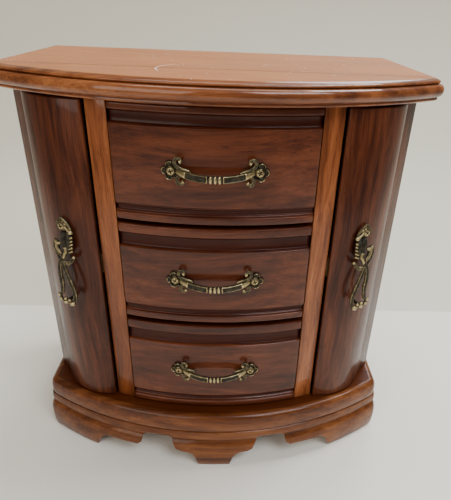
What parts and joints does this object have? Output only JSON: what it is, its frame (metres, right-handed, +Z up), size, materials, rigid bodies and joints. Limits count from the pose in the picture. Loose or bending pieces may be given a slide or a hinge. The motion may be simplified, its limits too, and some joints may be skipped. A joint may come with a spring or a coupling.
{
  "type": "jewelry armoire",
  "caption": "Tabletop bow-front jewelry chest with sliding drawers between curved side doors on a moulded base with bracket feet.",
  "frame": {"origin": "centre of the bounding box's bottom, on the surface the chest stands on", "axes": "+Z up, the drawers open towards -Y, +X is the right-hand side seen from the front"},
  "size_m": [0.294, 0.176, 0.304],
  "materials": {
    "door_wood": "glossy dark red-brown stain and lacquer",
    "drawer_wood": "glossy dark red-brown stain and lacquer",
    "frame_wood": "glossy orange-brown stain and lacquer",
    "moulding_wood": "glossy orange-brown stain and lacquer, worn on the top",
    "inner_wood": "bare pale wood",
    "antique_brass": "antiqued, dark in the recesses",
    "screw_brass": "satin",
    "steel": "plain",
    "felt": "napped felt"
  },
  "bodies": {
    "carcass": {"top_slab": "moulding_wood", "base_board": "moulding_wood", "apron_front": "moulding_wood", "apron_left": "moulding_wood", "apron_right": "moulding_wood", "apron_back": "moulding_wood", "back_panel": "door_wood", "lower_shelf": "inner_wood", "upper_shelf": "inner_wood", "left_stile": "frame_wood", "left_partition": "inner_wood", "left_post": "door_wood", "left_side_panel": "door_wood", "left_necklace_bar": "antique_brass", "left_magnet_catch": "inner_wood", "left_upper_pivot_pin": "steel", "left_lower_pivot_pin": "steel", "right_stile": "frame_wood", "right_partition": "inner_wood", "right_post": "door_wood", "right_side_panel": "door_wood", "right_necklace_bar": "antique_brass", "right_magnet_catch": "inner_wood", "right_upper_pivot_pin": "steel", "right_lower_pivot_pin": "steel"},
    "lower_drawer": {"lower_drawer_front": "drawer_wood", "lower_drawer_left_side": "inner_wood", "lower_drawer_right_side": "inner_wood", "lower_drawer_back": "inner_wood", "lower_drawer_bottom": "inner_wood", "lower_drawer_lining": "felt", "lower_drawer_pull": "antique_brass", "lower_drawer_left_screw": "screw_brass", "lower_drawer_right_screw": "screw_brass"},
    "middle_drawer": {"middle_drawer_front": "drawer_wood", "middle_drawer_left_side": "inner_wood", "middle_drawer_right_side": "inner_wood", "middle_drawer_back": "inner_wood", "middle_drawer_bottom": "inner_wood", "middle_drawer_lining": "felt", "middle_drawer_pull": "antique_brass", "middle_drawer_left_screw": "screw_brass", "middle_drawer_right_screw": "screw_brass"},
    "upper_drawer": {"upper_drawer_front": "drawer_wood", "upper_drawer_left_side": "inner_wood", "upper_drawer_right_side": "inner_wood", "upper_drawer_back": "inner_wood", "upper_drawer_bottom": "inner_wood", "upper_drawer_lining": "felt", "upper_drawer_pull": "antique_brass", "upper_drawer_left_screw": "screw_brass", "upper_drawer_right_screw": "screw_brass"},
    "left_door_body": {"left_door": "door_wood", "left_door_pull": "antique_brass", "left_door_screw": "screw_brass", "left_strike_plate": "steel"},
    "right_door_body": {"right_door": "door_wood", "right_door_pull": "antique_brass", "right_door_screw": "screw_brass", "right_strike_plate": "steel"}
  },
  "joints": [
    {"name": "lower_drawer_slide", "type": "slide", "parent": "carcass", "child": "lower_drawer", "axis": [0, -1, 0], "range_m": [0, 0.1]},
    {"name": "middle_drawer_slide", "type": "slide", "parent": "carcass", "child": "middle_drawer", "axis": [0, -1, 0], "range_m": [0, 0.1]},
    {"name": "upper_drawer_slide", "type": "slide", "parent": "carcass", "child": "upper_drawer", "axis": [0, -1, 0], "range_m": [0, 0.1]},
    {"name": "left_door_hinge", "type": "hinge", "parent": "carcass", "child": "left_door_body", "pos_m": [-0.12119, -0.03649, 0.17], "axis": [0, 0, -1], "range_deg": [0, 100]},
    {"name": "right_door_hinge", "type": "hinge", "parent": "carcass", "child": "right_door_body", "pos_m": [0.12119, -0.03649, 0.17], "axis": [0, 0, 1], "range_deg": [0, 100]}
  ]
}
